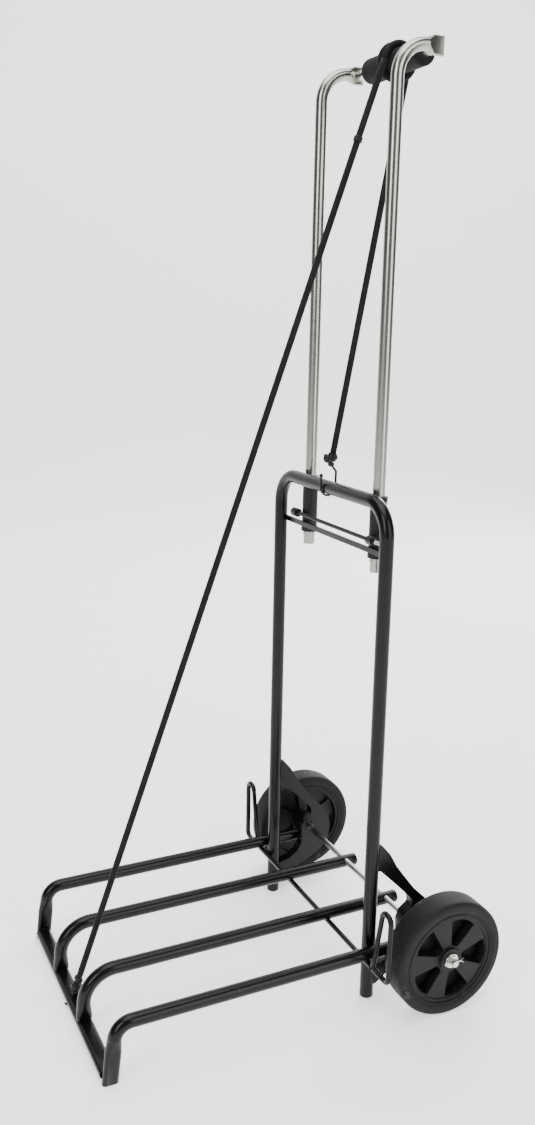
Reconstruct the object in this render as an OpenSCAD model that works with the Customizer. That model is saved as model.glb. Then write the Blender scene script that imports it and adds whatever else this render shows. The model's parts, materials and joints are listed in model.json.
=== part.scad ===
// Two-wheel folding luggage cart: an upright with a telescopic handle, a folding platform of
// four rails, two five-inch wheels and an elastic cord with a hook at each end.
// Origin: on the ground under the middle of the cart. Front is -Y, up is +Z. Millimetres.

/* [Upright] */
// Distance between the two leg centrelines
leg_gap = 238; // [220:1:260]
// Outside diameter of the upright's tube
leg_d = 15; // [13:0.5:16]
// Height of the upright's top bar, at its centreline
upright_h = 550; // [500:1:600]
// Centreline radius of the upright's top corners
upright_r = 34; // [25:1:45]
// Wall of all the painted tubes
wall = 1.2; // [1:0.1:1.6]

/* [Platform] */
// Distance from the upright to the middle of the front bar
deck_reach = 299.5; // [260:0.5:340]
// Outside diameter of the platform rails
rail_d = 14.5; // [13:0.5:15]
// Height of the rail centrelines
rail_z = 63.2; // [62:0.1:65]
// Distance between the two outer rails' centrelines
outer_gap = 269; // [268:1:280]
// Distance between the two inner rails' centrelines
inner_gap = 94; // [80:1:110]
// Forward lean of the outer rails' front drops, in degrees
drop_lean = 6; // [0:0.5:8]
// Centreline radius of the outer rails' front bend
outer_bend_r = 18; // [16:1:22]
// Centreline radius of the inner rails' front bend
inner_bend_r = 34; // [28:1:36]
// Underside of the front bar above the ground
bar_lift = 3.2; // [3:0.1:5]

/* [Wheels] */
// Wheel diameter
wheel_d = 131; // [126:1:134]
// Width of the tyre
wheel_w = 31.5; // [26:0.5:32]
// Inner face of each wheel from the middle of the cart
wheel_x = 152.2; // [152:0.1:154]
// Distance from the upright to the axle
axle_back = 64; // [60:0.5:70]
// Axle diameter
axle_d = 7; // [6:0.5:7]
// Spokes in each wheel
spokes = 5; // [3:1:6]

/* [Handle] */
// Distance between the two handle tubes' centrelines
handle_gap = 150; // [140:1:156]
// Outside diameter of the handle tubes
tube_d = 12.7; // [12:0.1:13]
// Bottom end of the handle tubes when pulled out
handle_foot = 472; // [462:1:474]
// Height of the grip's centreline when pulled out
grip_z = 984; // [940:1:1000]
// Centreline radius of the handle tubes' top bend
handle_bend_r = 31; // [28:1:34]
// Grip diameter
grip_d = 25.8; // [24:0.2:28]
// Grip length
grip_len = 102; // [90:1:112]

/* [Lock] */
// Height of the release rod
rod_z = 508; // [507:0.5:511]
// Diameter of the release rod
rod_d = 4.5; // [4:0.1:5]

/* [Cord] */
// Diameter of the elastic cord
cord_d = 7; // [6.4:0.1:7.2]
// Diameter of the cord hooks' wire
hook_d = 2.6; // [2.4:0.1:2.8]

/* [Hidden] */
$fn = 48;

// Radial running clearance of shafts in their bores
fit = 0.05;
// Clearance of parts pushed together
snug = 0.04;

bar_w = 17;
bar_h = 9;
wheel_r = wheel_d / 2;
// The cart's length runs from the front bar's front edge to the wheels' back
upright_y = (deck_reach + bar_w / 2 - axle_back - wheel_r) / 2;
axle_y = upright_y + axle_back;
axle_z = wheel_r;
bar_y = upright_y - deck_reach;
leg_x = leg_gap / 2;
outer_x = outer_gap / 2;
inner_x = inner_gap / 2;

// Handle
handle_x = handle_gap / 2;
handle_y = upright_y + 15.5;
grip_y = upright_y + 61;
tube_wall = 1.2;
flat_t = 3;
flat_h = 18.5;
flat_end = grip_y + 4.5;
flat_x = handle_x + 0.5;
flat_run = 8.4;
bolt_d = 6;
// The bolt stops inside the right tube's flattened end
bolt_end = flat_x + flat_t / 2 - 1;
stop_z = 484;

// Sleeves that guide the handle tubes
sleeve_d = 17.5;
sleeve_bore = 14.2;
sleeve_z0 = 492;
sleeve_z1 = 547;
collar_d = 19;
collar_h = 5;
strap_z0 = 493.5;
strap_h = 6;
strap_t = 2.75;
rod_y = upright_y + 2.8;
pin_d = 4;
knob_d = 10;
knob_x0 = 80;
knob_x1 = 92;

// Axle and brackets
bracket_w = 12;
rivet_d = 5;
rivet_head = 12;
rivet_y = upright_y + 49;
rivet_z = 84;
axle_half = 192;
foot_z = 6;
flat_drop = 8;
flat_from = 13;
outer_end = axle_y + 10;
inner_end = axle_y + 17;
plug_dome = 3.5;
plug_in = 26;

// Hook rod: its run under the rails and the loop at each end
hook_rod_d = 6;
hook_rod_y = upright_y - leg_d / 2 - hook_rod_d / 2 + 0.3;
hook_rod_z = rail_z - rail_d / 2 - hook_rod_d / 2 - 0.3;
loop_out = 177;
loop_in = 146;
loop_r = 8.5;
loop_corner = 7;
loop_z = 121;
loop_tilt = atan((loop_out - 2 * loop_r - loop_in) / (loop_z - hook_rod_z));

// Cord: side offset of the two runs, and the hand-set ends of each straight run
run_x = -5;
FRONT_TOP = [-run_x, grip_y - 15.8, grip_z + 5.5];
FRONT_EYE = [-run_x, bar_y + 0.5, 14.5];
FRONT_BOTTOM = [-run_x, bar_y + 5.9, 29.9];
REAR_TOP = [run_x, grip_y + 16.4, grip_z - 3];
REAR_BOTTOM = [run_x, upright_y + 2.5, 575];
front_len = norm(FRONT_TOP - FRONT_BOTTOM);
rear_len = norm(REAR_TOP - REAR_BOTTOM);
start_len = 6;
lower_len = 535;
crimp_d = 8;
band_at = 86;
cap_rib = 6;
cap_at = 3;
rear_ribs = 1;
wrap_r = grip_d / 2 + cord_d / 2 + 0.15;
front_lean = atan2(FRONT_TOP.y - FRONT_BOTTOM.y, FRONT_TOP.z - FRONT_BOTTOM.z);
rear_lean = atan2(REAR_TOP.y - REAR_BOTTOM.y, REAR_TOP.z - REAR_BOTTOM.z);

PAINT = "#20242a";
CHROME = "#d8dade";
ZINC = "#a9adb2";
PLASTIC = "#1b1c1e";
RUBBER = "#26272a";
CORD = "#141416";

// ---- Shared shapes ----

// A round rod from x0 to x1 along X
module rod_x(d, x0, x1, y, z)
  translate([x0, y, z]) rotate([0, 90, 0]) cylinder(d = d, h = x1 - x0);

// A round rod from y0 to y1 along Y
module rod_y(d, y0, y1, x, z)
  translate([x, y0, z]) rotate([-90, 0, 0]) cylinder(d = d, h = y1 - y0);

module ring(d, t)
  difference() {
    circle(d = d);
    circle(d = d - 2 * t);
  }

// A straight tube standing on z = 0
module pipe(d, t, h) linear_extrude(h) ring(d, t);

// A bent tube: part of a ring of centreline radius r about Z, from +X round towards +Y
module elbow(d, t, r, a) rotate_extrude(angle = a) translate([r, 0]) ring(d, t);

// The same as a solid rod
module rod_bend(d, r, a) rotate_extrude(angle = a) translate([r, 0]) circle(d = d);

// Puts a shape drawn in the XY plane into the YZ plane
module to_yz() rotate([90, 0, 90]) children();

// Puts a shape drawn in the XY plane into the XZ plane
module to_xz() rotate([90, 0, 0]) children();

// side is 1 for the right (+X) and -1 for the left
module sided(side) mirror([side < 0 ? 1 : 0, 0, 0]) children();

// A flat bar's section with round ends, w wide and t thick
module stadium(w, t) {
  square([w - t, t], center = true);
  for (s = [-1, 1]) translate([s * (w - t) / 2, 0]) circle(d = t);
}

module flat_section(w, t) rotate([0, 0, 90]) stadium(w, t, $fn = 32);

// Cord tube from a to b in the plane x = constant, with a ring of points every step
CORD_SIDES = 8;
function lerp(a, b, t) = a + (b - a) * t;
function cord_rings(a, b) = max(2, round(norm(b - a) / 15));
module cord_run(a, b, d) {
  n = cord_rings(a, b);
  along = (b - a) / norm(b - a);
  side = [1, 0, 0];
  up = cross(along, side);
  points = [
    for (i = [0:n], k = [0:CORD_SIDES - 1])
      lerp(a, b, i / n) + d / 2 * (cos(k * 360 / CORD_SIDES) * side
        + sin(k * 360 / CORD_SIDES) * up)
  ];
  last = n * CORD_SIDES;
  polyhedron(points, concat(
    [[for (k = [0:CORD_SIDES - 1]) k]],
    [[for (k = [CORD_SIDES - 1:-1:0]) last + k]],
    [for (i = [0:n - 1], k = [0:CORD_SIDES - 1]) [
      i * CORD_SIDES + k,
      (i + 1) * CORD_SIDES + k,
      (i + 1) * CORD_SIDES + (k + 1) % CORD_SIDES,
      i * CORD_SIDES + (k + 1) % CORD_SIDES
    ]]
  ));
}

// Places children at a point with their +Z along a run that leans back by the angle
module on_run(point, lean) translate(point) rotate([-lean, 0, 0]) children();

// ---- Upright ----

module upright_path(d) {
  straight = upright_h - upright_r;
  for (s = [-1, 1]) translate([s * leg_x, upright_y, foot_z]) cylinder(d = d, h = straight - foot_z);
  for (s = [0, 1]) mirror([s, 0, 0])
    translate([leg_x - upright_r, upright_y, straight]) to_xz() rod_bend(d, upright_r, 90);
  rod_x(d, -leg_x + upright_r, leg_x - upright_r, upright_y, upright_h);
}

module upright_frame() color(PAINT) difference() {
  upright_path(leg_d);
  upright_path(leg_d - 2 * wall);
}

module leg_tip(side) color(PLASTIC) translate([side * leg_x, upright_y, 0]) {
  translate([0, 0, 1]) cylinder(d = leg_d, h = foot_z - 1);
  cylinder(d1 = leg_d - 2, d2 = leg_d, h = 1);
  translate([0, 0, foot_z]) cylinder(d = leg_d - 2 * wall - 2 * snug, h = 14);
}

// Flat strap across the fronts of the sleeves, welded to the legs
module lock_strap() color(PAINT) difference() {
  translate([-leg_x, upright_y + 4, strap_z0]) cube([2 * leg_x, strap_t, strap_h]);
  for (s = [-1, 1]) translate([s * leg_x, upright_y, strap_z0 - 1])
    cylinder(d = leg_d, h = strap_h + 2);
}

module sleeve(side) color(PAINT) difference() {
  translate([side * handle_x, handle_y, sleeve_z0]) cylinder(d = sleeve_d, h = sleeve_z1 - sleeve_z0);
  translate([side * handle_x, handle_y, sleeve_z0 - 1])
    cylinder(d = sleeve_bore, h = sleeve_z1 - sleeve_z0 + 2);
  rod_x(leg_d + 0.02, -leg_x, leg_x, upright_y, upright_h);
  rod_y(pin_d + 1, upright_y, handle_y, side * handle_x, rod_z);
}

// Plastic guide bush: a collar outside the sleeve and a spigot inside it
module guide_bush(side, collar_z, spigot_z) color(PLASTIC) difference() {
  union() {
    translate([side * handle_x, handle_y, collar_z]) cylinder(d = collar_d, h = collar_h);
    translate([side * handle_x, handle_y, spigot_z]) cylinder(d = sleeve_bore - 2 * snug, h = 10);
  }
  translate([side * handle_x, handle_y, collar_z - 20]) cylinder(d = tube_d + 2 * fit, h = 40);
  rod_x(leg_d + 0.1, -leg_x, leg_x, upright_y, upright_h);
}

module bush_upper(side) guide_bush(side, sleeve_z1, sleeve_z1 - 10);
module bush_lower(side) guide_bush(side, sleeve_z0 - collar_h, sleeve_z0);

// ---- Axle brackets ----

// Outline behind the leg: y from the upright, then z
BRACKET = [
  [0, 15], [8, 16], [21, 25], [44, 35], [67, 48], [77, 61], [79, 78], [77, 92],
  [69, 105], [52, 122], [39, 139], [28, 154], [19, 170], [8, 183], [0, 183]
];
BRACKET_WINDOW = [
  [0, 154], [8, 152], [29, 131], [50, 109], [51, 101], [41, 94], [37, 84], [38, 63],
  [33, 52], [20, 43], [0, 38]
];

module bracket_outline() difference() {
  offset(r = 3) offset(delta = -3) polygon(BRACKET);
  offset(r = 4) offset(delta = -4) polygon(BRACKET_WINDOW);
}

module axle_bracket(side) color(PAINT) difference() {
  translate([side * leg_x - bracket_w / 2, upright_y, 0]) to_yz()
    linear_extrude(bracket_w) bracket_outline();
  translate([side * leg_x, upright_y, 0]) cylinder(d = leg_d + 0.02, h = 200);
  rod_x(axle_d + 2 * snug, side * leg_x - 20, side * leg_x + 20, axle_y, axle_z);
  rod_x(rivet_d + 0.1, side * leg_x - 20, side * leg_x + 20, rivet_y, rivet_z);
}

// Round-headed rivets through the brackets
module bracket_rivets() color(ZINC) for (s = [-1, 1]) {
  rod_x(rivet_d, s * leg_x - bracket_w / 2, s * leg_x + bracket_w / 2, rivet_y, rivet_z);
  for (f = [-1, 1]) translate([s * leg_x + f * bracket_w / 2, rivet_y, rivet_z])
    intersection() {
      scale([0.35, 1, 1]) sphere(d = rivet_head);
      translate([f > 0 ? 0 : -8, -8, -8]) cube([8, 16, 16]);
    }
}

// ---- Axle and wheels ----

module axle() color(ZINC) difference() {
  rod_x(axle_d, -axle_half, axle_half, axle_y, axle_z);
  for (s = [-1, 1]) rod_y(2.2, axle_y - 10, axle_y + 10, s * (axle_half - 4), axle_z);
}

module tube_x(d, bore, x0, x1) difference() {
  rod_x(d, x0, x1, axle_y, axle_z);
  rod_x(bore, x0 - 1, x1 + 1, axle_y, axle_z);
}

module axle_spacers() color(PLASTIC) for (s = [0, 1]) mirror([s, 0, 0])
  tube_x(12, axle_d + 2 * snug, outer_x + rail_d / 2 + 0.4, wheel_x - 1.7);

module axle_washers() color(ZINC) for (s = [0, 1]) mirror([s, 0, 0]) {
  tube_x(16, axle_d + 2 * snug, wheel_x - 1.6, wheel_x - 0.2);
  tube_x(16, axle_d + 2 * snug, wheel_x + wheel_w + 0.2, wheel_x + wheel_w + 1.6);
  tube_x(13, axle_d + 2 * snug, wheel_x + wheel_w + 1.7, wheel_x + wheel_w + 3.2);
}

// Cotter pins through the axle's ends
module split_pins() color(ZINC) for (s = [-1, 1]) translate([s * (axle_half - 4), axle_y, axle_z]) {
  rotate([90, 0, 0]) translate([0, 0, -9]) cylinder(d = 2, h = 16);
  translate([0, -8.6, 0]) rotate([0, 90, 0]) rotate_extrude() translate([1.9, 0]) circle(d = 1.3);
  for (t = [-1, 1]) translate([0, 8.6, 0]) rotate([-90 - t * 35, 0, 0]) cylinder(d = 1.2, h = 5);
}

// Angle at which each wheel stands, from +Y towards +Z
LEFT_TURN = -21;
RIGHT_TURN = -3;
rim_r = 51;
hub_r = 13;
web_x0 = 9;
web_x1 = wheel_w - 3;
// Floor between the pockets cut in the web from each face
floor_x0 = 13;
floor_x1 = 15;

// Wheel-local axis is Z with the inner face at z = 0
module wheel_window() {
  offset(r = 1.5) offset(delta = -1.5)
    polygon([[15, -4.5], [42, -15.5], [45, -8], [46, 0], [45, 8], [42, 15.5], [15, 4.5]]);
}

module wheel_at(side) sided(side) translate([wheel_x, axle_y, axle_z]) rotate([90, 0, 90]) children();

module wheel_rim(side, turn) color(PLASTIC) wheel_at(side) difference() {
  union() {
    translate([0, 0, 2]) difference() {
      cylinder(r = rim_r, h = wheel_w - 4);
      translate([0, 0, -1]) cylinder(r = rim_r - 4, h = wheel_w);
    }
    translate([0, 0, web_x0]) cylinder(r = rim_r - 3, h = web_x1 - web_x0);
    cylinder(r = hub_r, h = wheel_w);
  }
  for (k = [0:spokes - 1]) rotate([0, 0, k * 360 / spokes + turn]) {
    translate([0, 0, -1]) linear_extrude(floor_x0 + 1) wheel_window();
    translate([0, 0, floor_x1]) linear_extrude(wheel_w) wheel_window();
  }
  translate([0, 0, -1]) cylinder(d = axle_d + 4, h = wheel_w + 2);
}

module tyre(side) color(RUBBER) wheel_at(side) rotate_extrude($fn = 96) difference() {
  union() {
    translate([rim_r, 0]) square([wheel_r - rim_r - 4, wheel_w]);
    translate([rim_r, 4]) square([wheel_r - rim_r, wheel_w - 8]);
    for (y = [4, wheel_w - 4]) translate([wheel_r - 4, y]) circle(r = 4);
  }
}

module wheel_bush(side) color(PLASTIC) wheel_at(side) difference() {
  cylinder(d = axle_d + 4 - 2 * snug, h = wheel_w);
  translate([0, 0, -1]) cylinder(d = axle_d + 2 * fit, h = wheel_w + 2);
}

// ---- Hook rod ----

// Steel rod under the rails that rises in a cargo loop outside each outer rail
module hook_rod() color(PAINT) {
  rod_x(hook_rod_d, -loop_out + loop_corner, loop_out - loop_corner, hook_rod_y, hook_rod_z);
  for (s = [0, 1]) mirror([s, 0, 0]) translate([0, hook_rod_y, 0]) {
    translate([loop_out - loop_corner, 0, hook_rod_z + loop_corner]) to_xz()
      rotate([0, 0, -90]) rod_bend(hook_rod_d, loop_corner, 90);
    translate([loop_out, 0, hook_rod_z + loop_corner])
      cylinder(d = hook_rod_d, h = loop_z - hook_rod_z - loop_corner);
    translate([loop_out - loop_r, 0, loop_z]) to_xz() rod_bend(hook_rod_d, loop_r, 180 - loop_tilt);
    translate([loop_out - loop_r - loop_r * cos(loop_tilt), 0, loop_z + loop_r * sin(loop_tilt)])
      rotate([0, 180 + loop_tilt, 0])
        cylinder(d = hook_rod_d - 0.4, h = (loop_z - hook_rod_z) / cos(loop_tilt));
  }
}

// ---- Platform ----

// Rail in the YZ plane: straight run, front bend, then a drop flattened in X down to z = low
module rail_solid(end, bend_r, low, lean, d) {
  turn = 90 - lean;
  drop_y = bar_y + (low < 1 ? 1 : 0);
  bend_z = rail_z - bend_r;
  exit_z = bend_z + bend_r * cos(turn);
  exit_y = drop_y + (exit_z - low) * tan(lean);
  bend_y = exit_y + bend_r * sin(turn);
  drop_len = (exit_z - low) / cos(lean) + (lean > 0 ? 2 : 0);
  translate([0, bend_y, rail_z]) rotate([-90, 0, 0]) cylinder(d = d, h = end - bend_y);
  translate([0, bend_y, bend_z]) to_yz() rotate([0, 0, 90]) rod_bend(d, bend_r, turn);
  if (d == rail_d) difference() {
    translate([0, exit_y, exit_z]) rotate([180 - lean, 0, 0]) {
      translate([0, 0, -0.4]) cylinder(d = d - wall, h = 0.6);
      hull() {
        cylinder(d = d, h = 0.1, $fn = 32);
        translate([0, 0, flat_from]) linear_extrude(0.1) flat_section(bar_w, flat_drop);
      }
      translate([0, 0, flat_from]) linear_extrude(drop_len - flat_from) flat_section(bar_w, flat_drop);
    }
    if (lean > 0) translate([-20, bar_y - 20, low - 20]) cube([40, 40, 20]);
  }
}

module rail(side, x, end, bend_r, low, lean) color(PAINT) translate([side * x, 0, 0]) difference() {
  rail_solid(end, bend_r, low, lean, rail_d);
  rail_solid(end + 1, bend_r, low, lean, rail_d - 2 * wall);
  rod_x(axle_d + 2 * fit, -10, 10, axle_y, axle_z);
}

module outer_rail(side) rail(side, outer_x, outer_end - plug_dome, outer_bend_r, 0, drop_lean);
module inner_rail(side) rail(side, inner_x, inner_end - plug_dome, inner_bend_r, bar_lift + bar_h, 0);

// Domed plastic plug in a rail's back end
module rail_plug(side, x, end) color(PLASTIC) translate([side * x, 0, 0]) difference() {
  union() {
    rod_y(rail_d - 2 * wall - 2 * snug, end - plug_dome - plug_in, end - plug_dome, 0, rail_z);
    translate([0, end - plug_dome, rail_z]) rotate([-90, 0, 0]) {
      cylinder(d = rail_d, h = plug_dome / 2);
      translate([0, 0, plug_dome / 2]) cylinder(d1 = rail_d, d2 = rail_d - 5, h = plug_dome / 2);
    }
  }
  rod_x(axle_d + 2 * fit, -10, 10, axle_y, axle_z);
}

module front_bar() color(PAINT) difference() {
  x1 = outer_x - flat_drop / 2;
  translate([-x1, bar_y, bar_lift + bar_h / 2]) rotate([90, 0, 90])
    linear_extrude(2 * x1) stadium(bar_w, bar_h);
  translate([-x1 + 8, bar_y, bar_lift + bar_h / 2]) rotate([90, 0, 90])
    linear_extrude(2 * x1 - 16) stadium(bar_w - 2 * wall, bar_h - 2 * wall);
}

// Rivets: one on each outer rail's outer face beside the leg, one inside each outer drop
module rail_rivets() color(ZINC) for (s = [0, 1]) mirror([s, 0, 0]) {
  rod_x(4, outer_x + rail_d / 2, outer_x + rail_d / 2 + 0.8, upright_y - 3, rail_z - 1);
  rod_x(5, outer_x - flat_drop / 2 - 0.8, outer_x - flat_drop / 2, bar_y + 2.8, 17.5);
}

// ---- Handle ----

module handle_path(d) {
  translate([0, handle_y, handle_foot]) cylinder(d = d, h = grip_z - handle_bend_r - handle_foot);
  translate([0, handle_y + handle_bend_r, grip_z - handle_bend_r]) to_yz()
    rotate([0, 0, 90]) rod_bend(d, handle_bend_r, 90);
}

module handle_tube(side) color(CHROME) difference() {
  bend_end = handle_y + handle_bend_r;
  union() {
    translate([side * handle_x, 0, 0]) handle_path(tube_d);
    hull() {
      rod_y(tube_d, bend_end, bend_end + 0.1, side * handle_x, grip_z, $fn = 32);
      translate([side * flat_x, bend_end + flat_run, grip_z]) rotate([90, 0, 0])
        linear_extrude(0.1) flat_section(flat_h, flat_t);
    }
    translate([side * flat_x, flat_end, grip_z]) rotate([90, 0, 0])
      linear_extrude(flat_end - bend_end - flat_run) flat_section(flat_h, flat_t);
  }
  translate([side * handle_x, 0, -1]) handle_path(tube_d - 2 * tube_wall);
  translate([side * handle_x, handle_y, handle_foot - 1]) cylinder(d = tube_d - 2 * tube_wall, h = 30);
  rod_x(bolt_d + 0.2, side > 0 ? 0 : -flat_x - 10, side > 0 ? bolt_end + 0.1 : 0, grip_y, grip_z);
  rod_y(3.2, handle_y - 10, handle_y + 10, side * handle_x, stop_z);
}

// Cross pin near the tube's foot that stops it leaving the sleeve
module tube_stop(side) color(ZINC) rod_y(3, handle_y - tube_d / 2 - 1.2, handle_y + tube_d / 2 + 1.2,
  side * handle_x, stop_z);

module grip() color(RUBBER) difference() {
  hull() {
    rod_x(grip_d - 3, -grip_len / 2, grip_len / 2, grip_y, grip_z);
    rod_x(grip_d, -grip_len / 2 + 1.5, grip_len / 2 - 1.5, grip_y, grip_z);
  }
  rod_x(bolt_d + 0.2, -grip_len, grip_len, grip_y, grip_z);
}

module grip_bolt() color(ZINC) rod_x(bolt_d, -flat_x - 8, bolt_end, grip_y, grip_z);

module grip_ring(d, x0, x1) difference() {
  rod_x(d, x0, x1, grip_y, grip_z);
  rod_x(bolt_d + 0.1, x0 - 1, x1 + 1, grip_y, grip_z);
}

module grip_spacers() color(ZINC) for (s = [0, 1]) mirror([s, 0, 0])
  grip_ring(11, grip_len / 2 + 0.1, flat_x - flat_t / 2 - 0.1);

// Hexagon nut on the left
module grip_nut() color(ZINC) difference() {
  translate([-flat_x - flat_t / 2 - 5.1, grip_y, grip_z]) rotate([0, 90, 0])
    cylinder(d = 11, h = 5, $fn = 6);
  rod_x(bolt_d + 0.1, -flat_x - 20, 0, grip_y, grip_z);
}

// ---- Lock ----

// Rod across the sleeves' fronts, with a pin towards each handle tube
module release_rod() color(PAINT) {
  rod_x(rod_d, -knob_x0, knob_x0, rod_y, rod_z);
  for (s = [-1, 1]) rod_y(pin_d, rod_y, handle_y - tube_d / 2 - 0.2, s * handle_x, rod_z);
}

module lock_knob(side) color(PLASTIC) sided(side) {
  rod_x(knob_d, knob_x0, knob_x1 - 2, rod_y, rod_z);
  rod_x(knob_d - 2, knob_x1 - 2, knob_x1, rod_y, rod_z);
}

// Return spring between the right knob and the leg
module lock_spring() color(ZINC)
  rod_x(4.6, knob_x1 + 0.2, leg_x - sqrt(pow(leg_d / 2, 2) - pow(2.8, 2)) - 0.4, rod_y, rod_z);

// ---- Cord ----

// Turns of the cord round the grip: the front run's turn and the rear run's turn
module cord_wrap() color(CORD) translate([0, grip_y, grip_z]) {
  translate([-run_x, 0, 0]) to_yz() rotate([0, 0, -88]) rod_bend(cord_d, wrap_r, 235);
  translate([run_x, 0, 0]) to_yz() rotate([0, 0, -9.5]) rod_bend(cord_d, wrap_r, 277);
}

// First length of the front run, round at the end where it swings at the wrap
module cord_start() color(CORD) on_run(FRONT_TOP, front_lean) {
  sphere(d = cord_d);
  translate([0, 0, -start_len]) cylinder(d = cord_d, h = start_len);
}

module cord_front_upper() color(CORD) cord_run(
  lerp(FRONT_BOTTOM, FRONT_TOP, lower_len / front_len),
  lerp(FRONT_BOTTOM, FRONT_TOP, 1 - (start_len + 0.05) / front_len), cord_d);

module cord_front_lower() color(CORD) cord_run(
  lerp(FRONT_BOTTOM, FRONT_TOP, (crimp_d / 2 + 0.05) / front_len),
  lerp(FRONT_BOTTOM, FRONT_TOP, (lower_len - 0.05) / front_len), cord_d);

module cord_rear() color(CORD) cord_run(
  lerp(REAR_BOTTOM, REAR_TOP, (cap_at + 3 + rear_ribs * cap_rib) / rear_len), REAR_TOP, cord_d);

// Crimped band with two ears
module cord_band() color(PLASTIC) on_run(FRONT_TOP, front_lean) translate([0, 0, -band_at - 5]) difference() {
  union() {
    cylinder(d = cord_d + 2.4, h = 5);
    translate([-6.5, -1, 1]) cube([13, 2, 3]);
  }
  translate([0, 0, -1]) cylinder(d = cord_d + 0.4, h = 7);
}

// Ribbed end cap that joins the cord to its hook, with an ear on one side
module hook_cap(point, lean, ribs, ear) color(PLASTIC) on_run(point, lean) translate([0, 0, cap_at]) {
  cylinder(d1 = 7, d2 = 11, h = 3);
  for (k = [0:ribs - 1]) translate([0, 0, 3 + cap_rib * k]) {
    cylinder(d = 11.8, h = 4);
    translate([0, 0, 4]) cylinder(d = 9.8, h = cap_rib - 4);
  }
  translate([0, ear * 5, 5]) cube([2.8, 10, 4], center = true);
}

// Moulded ball on the front of the rear cap
module cap_ball() color(PLASTIC) on_run(REAR_BOTTOM, rear_lean) translate([0, -5.6, 5.3]) sphere(d = 9);

module front_hook_cap() hook_cap(FRONT_EYE, front_lean, 1, 1);
module rear_hook_cap() {
  hook_cap(REAR_BOTTOM, rear_lean, rear_ribs, -1);
  cap_ball();
}

// Crimped barrel at the mouth of the front cap, where the cord swings
module cord_crimp() color(PLASTIC) translate(FRONT_BOTTOM) rotate([0, 90, 0]) difference() {
  cylinder(d = crimp_d, h = crimp_d, center = true);
  cylinder(d = 1.6, h = crimp_d + 2, center = true);
}

// Wire round the front bar: over its top, down its back edge, below it and up in front
module front_hook() color(PLASTIC) {
  r = (bar_h + hook_d) / 2 + 0.15;
  mid = bar_lift + bar_h / 2;
  half = (bar_w - bar_h) / 2;
  translate([-run_x, bar_y, mid]) {
    translate([0, half, 0]) to_yz() rotate([0, 0, -90]) rod_bend(hook_d, r, 180);
    mirror([0, 1, 0]) translate([0, half, 0]) to_yz() rotate([0, 0, -90]) rod_bend(hook_d, r, 60);
  }
  rod_y(hook_d, bar_y - half, bar_y + half, -run_x, mid - r);
  rod_y(hook_d, FRONT_EYE.y, bar_y + half, -run_x, mid + r);
  translate(FRONT_EYE + [0, 0, 0.6]) sphere(d = 4.4);
}

// Wire behind the upright's top bar, below it and up in front, with a ball at its tip
// and a cross barrel that the cap swings on
module rear_hook() color(PLASTIC) {
  r = (leg_d + hook_d) / 2 + 0.3;
  knee = [run_x, upright_y + r, upright_h + 17];
  slant = REAR_BOTTOM - knee;
  translate([run_x, upright_y, upright_h]) to_yz() rotate([0, 0, -180]) rod_bend(hook_d, r, 180);
  translate([run_x, upright_y + r, upright_h]) cylinder(d = hook_d, h = knee.z - upright_h);
  translate(knee) sphere(d = hook_d + 0.2);
  on_run(knee, atan2(slant.y, slant.z)) cylinder(d = hook_d, h = norm(slant));
  rod_x(2 * cap_at - 0.4, run_x - 2.5, run_x + 2.5, REAR_BOTTOM.y, REAR_BOTTOM.z);
  translate([run_x, upright_y - r, upright_h]) cylinder(d = hook_d, h = 12);
  translate([run_x, upright_y - r, upright_h + 13]) sphere(d = 4.6);
}

upright_frame();
leg_tip(-1);  // leg_tip_left
leg_tip(1);  // leg_tip_right
lock_strap();
sleeve(-1);  // sleeve_left
sleeve(1);  // sleeve_right
bush_upper(-1);  // bush_upper_left
bush_upper(1);  // bush_upper_right
bush_lower(-1);  // bush_lower_left
bush_lower(1);  // bush_lower_right
axle_bracket(-1);  // axle_bracket_left
axle_bracket(1);  // axle_bracket_right
bracket_rivets();
axle();
axle_spacers();
axle_washers();
split_pins();
hook_rod();
lock_spring();  // lock_spring_right
outer_rail(-1);  // outer_rail_left
outer_rail(1);  // outer_rail_right
inner_rail(-1);  // inner_rail_left
inner_rail(1);  // inner_rail_right
front_bar();
rail_plug(-1, outer_x, outer_end);  // rail_plug_outer_left
rail_plug(1, outer_x, outer_end);  // rail_plug_outer_right
rail_plug(-1, inner_x, inner_end);  // rail_plug_inner_left
rail_plug(1, inner_x, inner_end);  // rail_plug_inner_right
rail_rivets();
handle_tube(-1);  // handle_tube_left
handle_tube(1);  // handle_tube_right
tube_stop(-1);  // tube_stop_left
tube_stop(1);  // tube_stop_right
grip();
grip_bolt();
grip_spacers();
grip_nut();
release_rod();
lock_knob(-1);  // lock_knob_left
lock_knob(1);  // lock_knob_right
wheel_rim(-1, LEFT_TURN);  // wheel_rim_left
wheel_rim(1, RIGHT_TURN);  // wheel_rim_right
tyre(-1);  // tyre_left
tyre(1);  // tyre_right
wheel_bush(-1);  // wheel_bush_left
wheel_bush(1);  // wheel_bush_right
cord_wrap();
cord_start();
cord_front_upper();
cord_band();
cord_front_lower();
front_hook();
front_hook_cap();
cord_crimp();
cord_rear();
rear_hook();
rear_hook_cap();
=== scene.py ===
"""Looks of the folding luggage cart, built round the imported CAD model. Metres, Z up, front is -Y."""

import json
import math

import bpy
import numpy as np
from mathutils import Matrix, Vector


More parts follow.
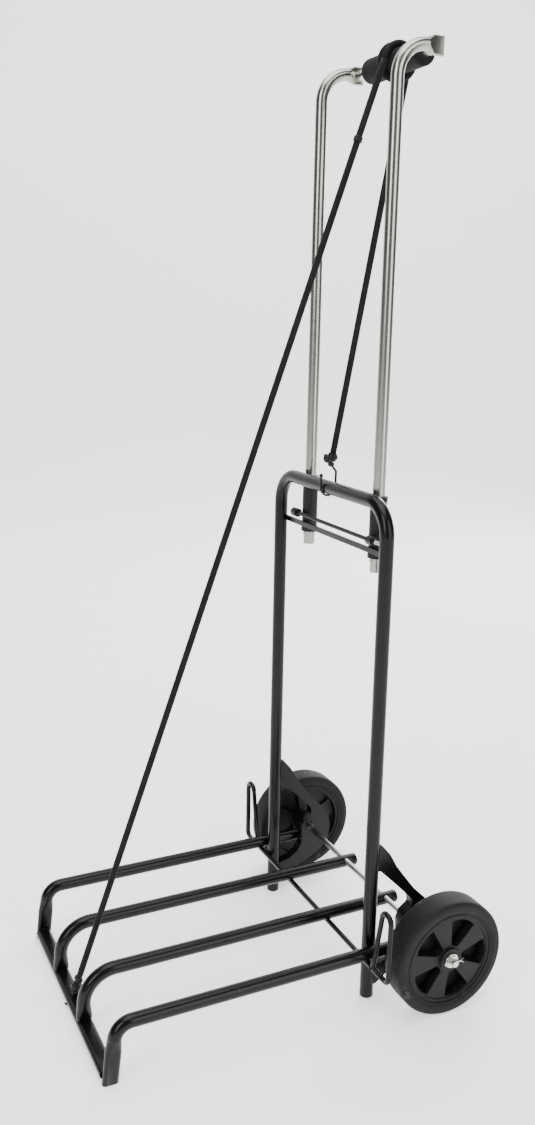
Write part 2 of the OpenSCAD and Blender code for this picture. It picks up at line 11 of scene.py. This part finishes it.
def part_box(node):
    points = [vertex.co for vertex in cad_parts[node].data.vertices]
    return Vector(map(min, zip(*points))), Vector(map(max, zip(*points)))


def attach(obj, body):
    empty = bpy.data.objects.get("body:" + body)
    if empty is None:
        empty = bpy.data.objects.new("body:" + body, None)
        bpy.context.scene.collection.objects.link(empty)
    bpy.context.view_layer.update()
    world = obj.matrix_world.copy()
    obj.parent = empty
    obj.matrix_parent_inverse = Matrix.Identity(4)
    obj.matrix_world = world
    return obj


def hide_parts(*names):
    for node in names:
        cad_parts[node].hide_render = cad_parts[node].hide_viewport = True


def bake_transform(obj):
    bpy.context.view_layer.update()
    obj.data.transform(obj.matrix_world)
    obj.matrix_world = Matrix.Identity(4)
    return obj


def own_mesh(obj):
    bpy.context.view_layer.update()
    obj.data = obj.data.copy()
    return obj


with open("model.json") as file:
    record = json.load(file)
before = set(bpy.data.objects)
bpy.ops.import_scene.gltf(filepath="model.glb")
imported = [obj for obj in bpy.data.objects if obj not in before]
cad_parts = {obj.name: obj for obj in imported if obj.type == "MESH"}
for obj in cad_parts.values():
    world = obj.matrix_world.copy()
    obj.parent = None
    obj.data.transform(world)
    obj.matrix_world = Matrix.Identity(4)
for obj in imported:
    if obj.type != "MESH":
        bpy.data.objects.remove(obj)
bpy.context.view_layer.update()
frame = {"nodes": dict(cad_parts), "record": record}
MM = 0.001
TAU = 2 * math.pi
SIDES = ((1, "right"), (-1, "left"))
LEG_R = 7.5  # mm


def mid(node):
    low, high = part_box(node)
    return (low + high) / 2


# ---- Places, all read from the frame ----
LEG_X = mid("leg_tip_right").x
UP_Y = mid("leg_tip_right").y
GRIP = mid("grip")
TUBE = mid("sleeve_right")
TOP_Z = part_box("upright_frame")[1].z - LEG_R * MM
BAR = mid("front_bar")
OUTER_X = mid("outer_rail_right").x
INNER_X = mid("inner_rail_right").x

# ---- Camera: it looks along -back, turned by ROLL about that line ----
PLACE = (0.9770, -0.4562, 0.7301)
AZ, EL, ROLL = (math.radians(a) for a in (64.25, 13.35, 1.11))
back = Vector((math.sin(AZ) * math.cos(EL), -math.cos(AZ) * math.cos(EL), math.sin(EL)))
right = (-back).cross(Vector((0, 0, 1))).normalized()
up = back.cross(right)
cam = bpy.data.objects.new("camera", bpy.data.cameras.new("camera"))
cam.data.lens, cam.data.sensor_width = 33.18, 36
cam.data.clip_start = 0.02
r = math.cos(ROLL) * right + math.sin(ROLL) * up
u = -math.sin(ROLL) * right + math.cos(ROLL) * up
cam.matrix_world = Matrix.Translation(PLACE) @ Matrix((r, u, back)).transposed().to_4x4()
bpy.context.scene.collection.objects.link(cam)
bpy.context.scene.camera = cam


# ---- Mesh helpers ----
def make(name, verts, faces, body, material=None, slot=None, replaces=(), smooth=True, uv=None):
    """A new mesh piece that rides on a body."""
    mesh = bpy.data.meshes.new(name)
    mesh.from_pydata([tuple(v) for v in verts], [], faces)
    if uv is not None:
        layer = mesh.uv_layers.new(name="UVMap")
        for i, loop in enumerate(mesh.loops):
            layer.data[i].uv = uv(loop.vertex_index)
    mesh.polygons.foreach_set("use_smooth", [smooth] * len(mesh.polygons))
    mesh.validate()
    obj = bpy.data.objects.new(name, mesh)
    bpy.context.scene.collection.objects.link(obj)
    if body:
        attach(obj, body)
    if material:
        mesh.materials.append(material)
    if replaces:
        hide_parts(*replaces)
    return obj


def sweep(path, radius, sides=12, flat=1.0):
    """Vertices and faces of a closed tube along a path; radius is a number or one per point."""
    path = [Vector(p) for p in path]
    n = len(path)
    radii = [radius] * n if isinstance(radius, float) else list(radius)
    ahead = [(path[min(i + 1, n - 1)] - path[max(i - 1, 0)]).normalized() for i in range(n)]
    side = ahead[0].orthogonal().normalized()
    verts = []
    for i in range(n):
        side = (side - ahead[i] * side.dot(ahead[i])).normalized()
        over = ahead[i].cross(side)
        for k in range(sides):
            a = TAU * k / sides
            verts.append(path[i] + radii[i] * (math.cos(a) * side + flat * math.sin(a) * over))
    faces = []
    for i in range(n - 1):
        here, there = i * sides, (i + 1) * sides
        for k in range(sides):
            k1 = (k + 1) % sides
            faces.append((here + k, here + k1, there + k1, there + k))
    faces.append(tuple(reversed(range(sides))))
    faces.append(tuple((n - 1) * sides + k for k in range(sides)))
    return verts, faces


def tube(name, path, radius, body, sides=12, flat=1.0, **kw):
    """A round piece along a path, with a UV map: around the tube and along it in metres."""
    path = [Vector(p) for p in path]
    verts, faces = sweep(path, radius, sides, flat)
    run = np.concatenate([[0], np.cumsum([(b - a).length for a, b in zip(path, path[1:])])])
    return make(name, verts, faces, body, uv=lambda i: (i % sides / sides, run[i // sides]), **kw)


def lathe(name, profile, centre, axis, body, segments=96, close=True, **kw):
    """A turned shape: profile is (along, radius) pairs, and axis is 'x', 'y' or 'z'."""
    verts, n = [], len(profile)
    for s in range(segments):
        a = TAU * s / segments
        for t, rad in profile:
            p = (t, rad * math.cos(a), rad * math.sin(a))
            if axis == "y":
                p = (p[2], p[0], p[1])
            elif axis == "z":
                p = (p[1], p[2], p[0])
            verts.append(Vector(centre) + Vector(p))
    faces = []
    for s in range(segments):
        t = (s + 1) % segments
        for i in range(n if close else n - 1):
            j = (i + 1) % n
            faces.append((s * n + i, s * n + j, t * n + j, t * n + i))
    obj = make(name, verts, faces, body, uv=lambda i: (i // n / segments, i % n / n), **kw)
    if not close:
        weld = obj.modifiers.new("weld", "WELD")
        weld.merge_threshold = 1e-6
    return obj


# ---- Materials ----
def material(name, color, rough, metallic=0.0, spread=0.15, patch=30.0, grain=900.0, bump=0.1,
             depth=0.0002, rough_spread=0.06, stretch=(1, 1, 1), scuff=None, **sockets):
    """Procedural surface: colour and gloss vary in patches, and a fine grain gives the bump.

    scuff is (threshold, scale, colour) of worn marks; other keywords set sockets of the shader.
    """
    m = bpy.data.materials.new(name)
    m.use_nodes = True
    nt = m.node_tree
    bsdf = nt.nodes["Principled BSDF"]
    bsdf.inputs["Metallic"].default_value = metallic
    for key, value in sockets.items():
        bsdf.inputs[key.replace("_", " ")].default_value = value
    coord = nt.nodes.new("ShaderNodeTexCoord")
    mapping = nt.nodes.new("ShaderNodeMapping")
    mapping.inputs["Scale"].default_value = stretch
    nt.links.new(coord.outputs["Object"], mapping.inputs["Vector"])

    def noise(scale, detail=4.0, rough_=0.55):
        n = nt.nodes.new("ShaderNodeTexNoise")
        n.inputs["Scale"].default_value = scale
        n.inputs["Detail"].default_value = detail
        n.inputs["Roughness"].default_value = rough_
        nt.links.new(mapping.outputs["Vector"], n.inputs["Vector"])
        return n

    patches = noise(patch)
    ramp = nt.nodes.new("ShaderNodeValToRGB")
    ramp.color_ramp.elements[0].position, ramp.color_ramp.elements[1].position = 0.3, 0.7
    ramp.color_ramp.elements[0].color = (*(c * (1 - spread) for c in color), 1)
    ramp.color_ramp.elements[1].color = (*(min(1.0, c * (1 + spread)) for c in color), 1)
    nt.links.new(patches.outputs["Fac"], ramp.inputs["Fac"])
    shade = ramp.outputs["Color"]
    gloss = nt.nodes.new("ShaderNodeMapRange")
    gloss.inputs["To Min"].default_value = max(0.02, rough - rough_spread)
    gloss.inputs["To Max"].default_value = rough + rough_spread
    nt.links.new(noise(patch * 2.3, 6.0).outputs["Fac"], gloss.inputs["Value"])
    if scuff:
        threshold, scale, mark = scuff
        worn = nt.nodes.new("ShaderNodeValToRGB")
        low, high = worn.color_ramp.elements
        low.position, high.position = threshold, threshold + 0.06
        low.color, high.color = (0, 0, 0, 1), (1, 1, 1, 1)
        nt.links.new(noise(scale, 8.0, 0.7).outputs["Fac"], worn.inputs["Fac"])
        mix = nt.nodes.new("ShaderNodeMix")
        mix.data_type = "RGBA"
        # A colour mix has its factor on socket 0, its inputs on 6 and 7 and its result on 2
        mix.inputs[7].default_value = (*mark, 1)
        nt.links.new(worn.outputs["Color"], mix.inputs[0])
        nt.links.new(shade, mix.inputs[6])
        shade = mix.outputs[2]
    nt.links.new(shade, bsdf.inputs["Base Color"])
    nt.links.new(gloss.outputs["Result"], bsdf.inputs["Roughness"])
    fine = nt.nodes.new("ShaderNodeBump")
    fine.inputs["Strength"].default_value = bump
    fine.inputs["Distance"].default_value = depth
    nt.links.new(noise(grain, 3.0).outputs["Fac"], fine.inputs["Height"])
    nt.links.new(fine.outputs["Normal"], bsdf.inputs["Normal"])
    return m


def add_height(m, build, strength, distance):
    """Adds a second bump in front of a material's grain; build returns the height output."""
    nt = m.node_tree
    bsdf = nt.nodes["Principled BSDF"]
    old = bsdf.inputs["Normal"].links[0].from_socket
    b = nt.nodes.new("ShaderNodeBump")
    b.inputs["Strength"].default_value = strength
    b.inputs["Distance"].default_value = distance
    nt.links.new(build(nt), b.inputs["Height"])
    nt.links.new(old, b.inputs["Normal"])
    nt.links.new(b.outputs["Normal"], bsdf.inputs["Normal"])


def math_node(nt, op, a, b=None):
    """Output of a math node; each input is a number or another node's output."""
    n = nt.nodes.new("ShaderNodeMath")
    n.operation = op
    for i, v in enumerate((a, b)):
        if v is None:
            continue
        if isinstance(v, (int, float)):
            n.inputs[i].default_value = v
        else:
            nt.links.new(v, n.inputs[i])
    return n.outputs[0]


def braid_height(around, along):
    """Two families of crossing threads, as counts round the cord and per metre along it."""
    def build(nt):
        uv = nt.nodes.new("ShaderNodeUVMap")
        sep = nt.nodes.new("ShaderNodeSeparateXYZ")
        nt.links.new(uv.outputs["UV"], sep.inputs[0])
        x = math_node(nt, "MULTIPLY", sep.outputs[0], TAU * around)
        y = math_node(nt, "MULTIPLY", sep.outputs[1], TAU * along)
        s = math_node(nt, "SINE", math_node(nt, "ADD", x, y))
        t = math_node(nt, "SINE", math_node(nt, "SUBTRACT", x, y))
        return math_node(nt, "MULTIPLY", s, t)
    return build


PAINT = material("black_powder_coat", (0.0026, 0.0029, 0.0033), 0.25, spread=0.2, patch=14,
                 grain=1500, bump=0.06, depth=0.0001, scuff=(0.80, 60, (0.05, 0.053, 0.055)),
                 Coat_Weight=0.03, Coat_Roughness=0.10, Specular_IOR_Level=0.20)
FLAT_PAINT = material("flat_black_steel", (0.006, 0.0064, 0.007), 0.44, spread=0.25, patch=22,
                      grain=1300, bump=0.22, depth=0.00015, scuff=(0.68, 80, (0.04, 0.04, 0.04)),
                      Specular_IOR_Level=0.22)
CHROME = material("chrome_plate", (0.35, 0.345, 0.315), 0.25, metallic=1.0, spread=0.04, patch=18,
                  grain=300, bump=0.03, depth=0.0001, rough_spread=0.035, stretch=(1, 1, 0.15),
                  scuff=(0.69, 90, (0.45, 0.44, 0.42)))
ZINC = material("zinc_plate", (0.50, 0.53, 0.50), 0.30, metallic=1.0, spread=0.14, patch=45,
                grain=700, bump=0.12, depth=0.00015, rough_spread=0.09,
                scuff=(0.64, 120, (0.30, 0.30, 0.27)))
WASHER = material("bright_zinc", (0.66, 0.66, 0.62), 0.24, metallic=1.0, spread=0.12, patch=60,
                  grain=900, bump=0.1, depth=0.0001, rough_spread=0.08,
                  scuff=(0.64, 160, (0.35, 0.34, 0.30)))
PLASTIC = material("black_moulding", (0.006, 0.006, 0.007), 0.38, spread=0.2, patch=25,
                   grain=1800, bump=0.25, depth=0.00012, Specular_IOR_Level=0.22)
WHEEL = material("wheel_moulding", (0.0065, 0.007, 0.0075), 0.50, spread=0.22, patch=18,
                 grain=1600, bump=0.35, depth=0.00018, scuff=(0.70, 45, (0.035, 0.037, 0.038)),
                 Specular_IOR_Level=0.18)
TYRE = material("tyre_rubber", (0.0075, 0.008, 0.0085), 0.62, spread=0.25, patch=16, grain=1400,
                bump=0.45, depth=0.0003, scuff=(0.62, 38, (0.036, 0.037, 0.036)),
                rough_spread=0.1, Specular_IOR_Level=0.18)
FOAM = material("foam_grip", (0.007, 0.0073, 0.0077), 0.86, spread=0.2, patch=40, grain=2600,
                bump=0.7, depth=0.0004, Sheen_Weight=0.03, Sheen_Roughness=0.6,
                Specular_IOR_Level=0.12)
BRAID = material("cord_braid", (0.006, 0.006, 0.0068), 0.62, spread=0.3, patch=90, grain=3000,
                 bump=0.3, depth=0.0002, Sheen_Weight=0.03, Sheen_Roughness=0.5,
                 Specular_IOR_Level=0.12)
add_height(BRAID, braid_height(7, 330), 0.6, 0.0003)
WIRE = material("dipped_wire", (0.010, 0.010, 0.011), 0.30, spread=0.2, patch=60, grain=1200,
                bump=0.12, depth=0.0001, Coat_Weight=0.05, Coat_Roughness=0.15,
                Specular_IOR_Level=0.25)

# ---- Cord sizes in mm, and how its runs draw in at the joints' limits ----
CORD_R = 3.5
UPPER_R = 3.48
RUN_X = 5.0
LOWER_LEN = 535
TUCK = 14
START_GAP = 6
BAND_AT = 88.5
CRIMP_GAP = 4.05
CAP_GAP = 11.6
WRAP_R = 16.55
WRAP_FROM, WRAP_TO = -9.5, 519


def band_piece(place, along):
    """Crimped band with two ears, drawn in with the cord it sits on."""
    rings = [(-2.6, 3.55), (-2.5, 4.4), (-2.1, 4.75), (-0.8, 4.8), (-0.3, 4.45), (0.3, 4.45), (0.8, 4.8),
             (2.1, 4.75), (2.5, 4.4), (2.6, 3.55)]
    verts, faces = sweep([place + along * t * MM for t, _ in rings], [rad * MM for _, rad in rings], 24)
    for s in (-1, 1):
        ear = [place + Vector((s * t * MM, 0, 0)) for t in (4.0, 6.0, 6.7, 7.0)]
        more, quads = sweep(ear, [1.5 * MM, 1.5 * MM, 1.2 * MM, 0.6 * MM], 12, 0.7)
        faces += [tuple(i + len(verts) for i in face) for face in quads]
        verts += more
    obj = make("cord_band_ring", verts, faces, "cord_upper_run", PLASTIC, "black_plastic", ["cord_band"])
    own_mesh(obj)
    return obj


def points(a, b, step=0.008):
    """Evenly spaced points from a to b."""
    count = max(3, round((b - a).length / step))
    return [a.lerp(b, i / count) for i in range(count + 1)]


# ---- Cord: a straight run in front of the grip, one behind it, and the turns between ----
def cord_pieces():
    top = Vector((RUN_X, 1000 * GRIP.y - 15.8, 1000 * GRIP.z + 5.5)) * MM
    bottom = Vector((RUN_X, 1000 * BAR.y + 5.9, 29.9)) * MM
    rear_top = Vector((-RUN_X, 1000 * GRIP.y + 16.4, 1000 * GRIP.z - 3)) * MM
    rear_bottom = Vector((-RUN_X, 1000 * UP_Y + 2.5, 575)) * MM
    along, rear_along = (top - bottom).normalized(), (rear_top - rear_bottom).normalized()
    join = bottom + along * LOWER_LEN * MM

    low = points(bottom + along * CRIMP_GAP * MM, join)
    piece = tube("cord_front_low", low, CORD_R * MM, "cord_lower_run", 16, material=BRAID,
                 slot="cord_braid", replaces=["cord_front_lower"])
    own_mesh(piece)

    high = points(join - along * TUCK * MM, top - along * START_GAP * MM)
    piece = tube("cord_front_high", high, UPPER_R * MM, "cord_upper_run", 16, material=BRAID,
                 slot="cord_braid", replaces=["cord_front_upper"])
    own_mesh(piece)
    band = band_piece(top - along * BAND_AT * MM, along)

    hind = points(rear_bottom + rear_along * CAP_GAP * MM, rear_top)
    piece = tube("cord_rear_run", hind, CORD_R * MM, "cord_rear_run", 16, material=BRAID,
                 slot="cord_braid", replaces=["cord_rear"])
    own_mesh(piece)

    # One and a half turns round the grip, crossing over beneath it
    turn = []
    for deg in np.linspace(WRAP_FROM, WRAP_TO, 110):
        t = min(1.0, max(0.0, (deg - 205) / 120))
        x = 2 * RUN_X * t * t * (3 - 2 * t) - RUN_X
        a = math.radians(deg)
        turn.append(Vector((x * MM, GRIP.y + WRAP_R * MM * math.cos(a),
                            GRIP.z + WRAP_R * MM * math.sin(a))))
    piece = tube("cord_grip_turns", turn, CORD_R * MM, "handle", 16, material=BRAID,
                 slot="cord_braid", replaces=["cord_wrap"])


cord_pieces()


# ---- Grip, tyres, plugs and springs ----
def grip_piece():
    """Foam grip: rounded ends and nine faint waves along it."""
    low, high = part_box("grip")
    half, r0 = (high.x - low.x) / 2, (high.z - low.z) / 2
    prof = [(-half, 4.4 * MM), (-half, r0 - 2.6 * MM), (-half + 0.5 * MM, r0 - 1.2 * MM),
            (-half + 1.4 * MM, r0 - 0.35 * MM), (-half + 2.8 * MM, r0)]
    prof += [(x, r0 - 0.10 * MM * (1 - math.cos(TAU * 9 * x / (2 * half))) / 2)
             for x in np.linspace(-half + 5 * MM, half - 5 * MM, 56)]
    prof += [(-x, rad) for x, rad in reversed(prof[:5])]
    prof += [(half, 3.2 * MM), (-half, 3.2 * MM)]
    obj = lathe("grip_foam", prof, GRIP, "x", "handle", 72, material=FOAM, slot="grip_rubber",
                replaces=["grip"])


def tyre_piece(side):
    """Solid tyre: a slight crown, round shoulders and a groove in each wall."""
    low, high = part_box("tyre_" + side)
    c = (low + high) / 2
    h, r1, r0 = (high.x - low.x) / 2, (high.z - low.z) / 2, 50.6 * MM
    bend_x, bend_r = 5 * MM, 4.6 * MM
    shoulder = [(h - bend_x + bend_x * math.sin(a), r1 - bend_r + bend_r * math.cos(a) - 0.12 * MM)
                for a in np.radians(np.linspace(10, 84, 9))]
    wall = [(h, r1 - 7.5 * MM), (h - 0.1 * MM, r0 + 4.2 * MM), (h - 1.0 * MM, r0 + 3.6 * MM),
            (h - 1.1 * MM, r0 + 1.5 * MM), (h - 0.3 * MM, r0 + 0.9 * MM), (h - 0.5 * MM, r0 + 0.1 * MM)]
    crown = [(0.0, r1), (h * 0.4, r1 - 0.1 * MM)]
    half = crown + shoulder + wall
    prof = half + [(-x, rad) for x, rad in reversed(half) if x > 0]
    lathe("tyre_ring_" + side, prof, c, "x", "wheel_" + side, 160, material=TYRE, slot="tyre_rubber",
          replaces=["tyre_" + side])


def plug_piece(node, body):
    """Domed plug in a rail's rear end, with a stem inside the tube."""
    low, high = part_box(node)
    c = (low + high) / 2
    rad, end = (high.x - low.x) / 2, high.y
    base = end - 3.5 * MM
    prof = [(-24 * MM, 0.0), (-24 * MM, 5.6 * MM), (0.0, 5.9 * MM), (0.0, rad), (0.9 * MM, rad),
            (1.2 * MM, rad - 0.25 * MM)]
    prof += [(1.2 * MM + 2.3 * MM * math.sin(a), (rad - 0.3 * MM) * math.cos(a))
             for a in np.radians(range(8, 90, 9))]
    prof.append((3.5 * MM, 0.0))
    lathe(node + "_dome", prof, (c.x, base, c.z), "y", body, 48, close=False, material=PLASTIC,
          slot="black_plastic", replaces=[node])


def spring_piece():
    """Return spring of the lock, drawn as a coil between the ends of its node; it rides on no body."""
    node = "lock_spring_right"
    low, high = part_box(node)
    c = (low + high) / 2
    turns, steps, coil_r, inset = 9, 18, 1.85 * MM, 0.5 * MM
    path = []
    for i in range(turns * steps + 1):
        t = i / (turns * steps)
        ease = t * t * (3 - 2 * t) * 0.35 + t * 0.65
        a = TAU * turns * t
        path.append((low.x + inset + (high.x - low.x - 2 * inset) * ease,
                     c.y + coil_r * math.cos(a), c.z + coil_r * math.sin(a)))
    obj = tube(node + "_coil", path, 0.42 * MM, None, 8, material=WASHER, slot="zinc",
               replaces=[node])
    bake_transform(obj)


grip_piece()
spring_piece()
for side in ("left", "right"):
    tyre_piece(side)
    for place in ("outer", "inner"):
        plug_piece(f"rail_plug_{place}_{side}", "platform")


# ---- Weld beads ----
def beads():
    """Weld beads; the random draws follow the order of the calls."""
    rng = np.random.default_rng(7)

    def bead(name, path, rad, body, flat=0.8):
        path = [Vector(p) for p in path]
        fine = []
        for a, b in zip(path, path[1:]):
            k = max(1, round((b - a).length / (0.35 * MM)))
            fine += [a.lerp(b, i / k) for i in range(k)]
        fine.append(path[-1])
        n = len(fine)
        grow = [min(1.0, 3.2 * min(i + 0.4, n - 1 - i + 0.4) / n) ** 0.5 for i in range(n)]
        radii = [rad * g * (1 + 0.10 * math.sin(i * 1.25) + 0.05 * rng.standard_normal())
                 for i, g in enumerate(grow)]
        tube(name, fine, radii, body, 10, flat, material=PAINT, slot="black_paint")

    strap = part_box("lock_strap")
    rod = mid("hook_rod")
    rod_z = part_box("hook_rod")[0].z + 3 * MM
    bar_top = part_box("front_bar")[1].z
    for s, side in SIDES:
        # sleeve to the top bar, below it
        z = TOP_Z - 6.4 * MM
        dy = math.sqrt(max(0.0, LEG_R ** 2 - (1000 * (z - TOP_Z)) ** 2)) * MM
        pts = [(s * TUBE.x + 8.9 * MM * math.sin(a), TUBE.y - 8.9 * MM * math.cos(a), z)
               for a in np.radians(np.linspace(-48, 48, 14))]
        pts = [(x, min(y, UP_Y + dy + 1.0 * MM), zz) for x, y, zz in pts]
        bead(f"weld_sleeve_low_{side}", pts, 1.1 * MM, "frame")
        # strap to the leg
        x, y = s * (LEG_X - 5.6 * MM), UP_Y + 5.6 * MM
        ends = [(x, y, strap[0].z + 0.6 * MM), (x, y, strap[1].z - 0.6 * MM)]
        bead(f"weld_strap_{side}", ends, 1.0 * MM, "frame")
        # strap to the sleeve
        for f in (-1, 1):
            x, y = s * TUBE.x + f * 6.6 * MM, strap[1].y + 0.5 * MM
            ends = [(x, y, strap[0].z + 0.8 * MM), (x, y, strap[1].z - 0.8 * MM)]
            tag = "in" if f * s < 0 else "out"
            bead(f"weld_sleeve_strap_{side}_{tag}", ends, 1.0 * MM, "frame")
        # hook rod to the leg
        for dz, tag in ((3.1 * MM, "high"), (-3.1 * MM, "low")):
            pts = [(s * LEG_X + 7.7 * MM * math.sin(a), UP_Y - 7.7 * MM * math.cos(a), rod_z + dz)
                   for a in np.radians(np.linspace(-30, 30, 9))]
            bead(f"weld_rod_{tag}_{side}", pts, 0.95 * MM, "frame")
        # foot of the loop's inner leg, a saddle over the rod
        c = Vector((s * 146.0 * MM, rod.y, rod_z))
        pts = [c + Vector((3.6 * MM * math.cos(a), 3.3 * MM * math.sin(a),
                           2.6 * MM * (1 - abs(math.sin(a)))))
               for a in np.radians(np.linspace(0, 360, 25))]
        bead(f"weld_loop_{side}", pts, 0.8 * MM, "frame")
        # bracket to the leg, at its top and its foot
        for f in (-1, 1):
            x, y = s * LEG_X + f * 6.2 * MM, UP_Y + 5.0 * MM
            end = "in" if f * s < 0 else "out"
            for z0, z1, tag in ((156, 180, "top"), (18, 33, "foot")):
                bead(f"weld_bracket_{tag}_{side}_{end}", [(x, y, z0 * MM), (x, y, z1 * MM)],
                     0.9 * MM, "frame")
        # inner and outer rails to the front bar
        pts = [(s * INNER_X + 4.2 * MM * math.cos(a), BAR.y + 8.6 * MM * math.sin(a) * 0.93,
                bar_top + 0.2 * MM) for a in np.radians(np.linspace(0, 360, 33))]
        bead(f"weld_drop_inner_{side}", pts, 0.85 * MM, "platform")
        x = s * (OUTER_X - 4.1 * MM)
        pts = [(x, BAR.y + t * MM, bar_top - 0.1 * MM) for t in np.linspace(-5.0, 6.0, 10)]
        bead(f"weld_drop_outer_{side}", pts, 0.85 * MM, "platform")


beads()

# ---- CAD nodes: soft edges and materials ----
FINISH = {
    "black_paint": PAINT, "chrome": CHROME, "zinc": ZINC, "black_plastic": PLASTIC,
    "wheel_plastic": WHEEL, "grip_rubber": FOAM, "tyre_rubber": TYRE, "cord_braid": BRAID,
    "hook_wire": WIRE,
}
# Nodes whose finish differs from the one of their slot
OWN = {"sleeve_left": FLAT_PAINT, "sleeve_right": FLAT_PAINT, "release_rod": FLAT_PAINT,
       "axle_washers": WASHER, "split_pins": WASHER, "grip_spacers": WASHER, "grip_nut": WASHER,
       "bracket_rivets": PAINT, "rail_rivets": PAINT, "lock_strap": PAINT}
# Bevel width in mm, by the start of the node's name; the first match counts
SOFT_EDGE = {"axle_bracket": 1.6, "wheel_rim": 0.7, "front_bar": 0.3, "lock_strap": 0.4, "sleeve": 0.3,
             "bush_": 0.4, "lock_knob": 0.6, "axle_washers": 0.2, "axle_spacers": 0.3, "leg_tip": 0.4,
             "front_hook_cap": 0.4, "rear_hook_cap": 0.4, "cord_crimp": 0.8, "cord_band": 0.3,
             "grip_nut": 0.3, "grip_spacers": 0.3, "axle": 0.5, "tube_stop": 0.3,
             "handle_tube": 0.3, "wheel_bush": 0.3}
slots = {s["node"]: s["material_slot"] for s in frame["record"]["subparts"]}
for name, obj in frame["nodes"].items():
    finish = OWN.get(name, FINISH[slots[name]])
    obj.data.materials.clear()
    obj.data.materials.append(finish)
    width = next((w for k, w in SOFT_EDGE.items() if name.startswith(k)), 0)
    weld = obj.modifiers.new("weld", "WELD")
    weld.merge_threshold = 2e-6
    if "custom_normal" in obj.data.attributes:
        obj.data.attributes.remove(obj.data.attributes["custom_normal"])
    obj.data.polygons.foreach_set("use_smooth", [True] * len(obj.data.polygons))
    if width:
        bevel = obj.modifiers.new("bevel", "BEVEL")
        bevel.width, bevel.segments, bevel.limit_method = width * MM, 2, "ANGLE"
        bevel.angle_limit = math.radians(38)
    normals = obj.modifiers.new("normals", "WEIGHTED_NORMAL")
    normals.keep_sharp = True
    obj.data.set_sharp_from_angle(angle=math.radians(40))


# ---- Floor, wall and light ----
def studio():
    m = bpy.data.materials.new("studio_sweep")
    m.use_nodes = True
    b = m.node_tree.nodes["Principled BSDF"]
    b.inputs["Base Color"].default_value = (0.94, 0.94, 0.935, 1)
    b.inputs["Roughness"].default_value = 0.7
    b.inputs["Specular IOR Level"].default_value = 0.2
    b.inputs["Emission Color"].default_value = (1, 1, 1, 1)
    b.inputs["Emission Strength"].default_value = 0.85
    # The floor turns up into the wall with a wide bend
    edge, bend = 2.6, 1.6
    prof = [(-6.0, 0.0), (-3.0, 0.0), (edge, 0.0)]
    prof += [(edge + bend * math.sin(a), bend - bend * math.cos(a))
             for a in np.radians(range(6, 91, 6))]
    prof += [(edge + bend, 5.5)]
    turn = Matrix.Rotation(AZ, 4, "Z")
    verts = [turn @ Vector((x, t, z)) for t, z in prof for x in (-7, 7)]
    faces = [(2 * i, 2 * i + 1, 2 * i + 3, 2 * i + 2) for i in range(len(prof) - 1)]
    floor = make("studio_sweep", verts, faces, None, material=m)

    def area(name, place, target, size, power):
        light = bpy.data.objects.new(name, bpy.data.lights.new(name, "AREA"))
        light.data.shape, light.data.size, light.data.size_y = "RECTANGLE", *size
        light.data.energy = power
        light.location = place
        light.rotation_mode = "QUATERNION"
        light.rotation_quaternion = (Vector(target) - Vector(place)).to_track_quat("-Z", "Y")
        bpy.context.scene.collection.objects.link(light)

    area("top", (0.2, -0.2, 3.2), (0, 0, 0.3), (2.6, 2.6), 100)
    area("key", (1.4, -2.4, 1.9), (0, 0, 0.5), (1.0, 2.2), 60)
    area("rim", (-1.6, 1.9, 1.7), (0, 0, 0.5), (0.8, 2.0), 40)
    area("strip", (2.4, 0.9, 1.3), (0, 0.1, 0.8), (1.3, 2.2), 42)
    wall = turn @ Vector((0, 1.2, 3.0))
    area("backdrop", wall, turn @ Vector((0, 4.2, 0.6)), (4.0, 1.0), 90)
    world = bpy.data.worlds.new("studio")
    bpy.context.scene.world = world
    world.use_nodes = True
    sky = world.node_tree.nodes["Background"]
    sky.inputs["Color"].default_value = (0.80, 0.82, 0.84, 1)
    sky.inputs["Strength"].default_value = 0.17


studio()
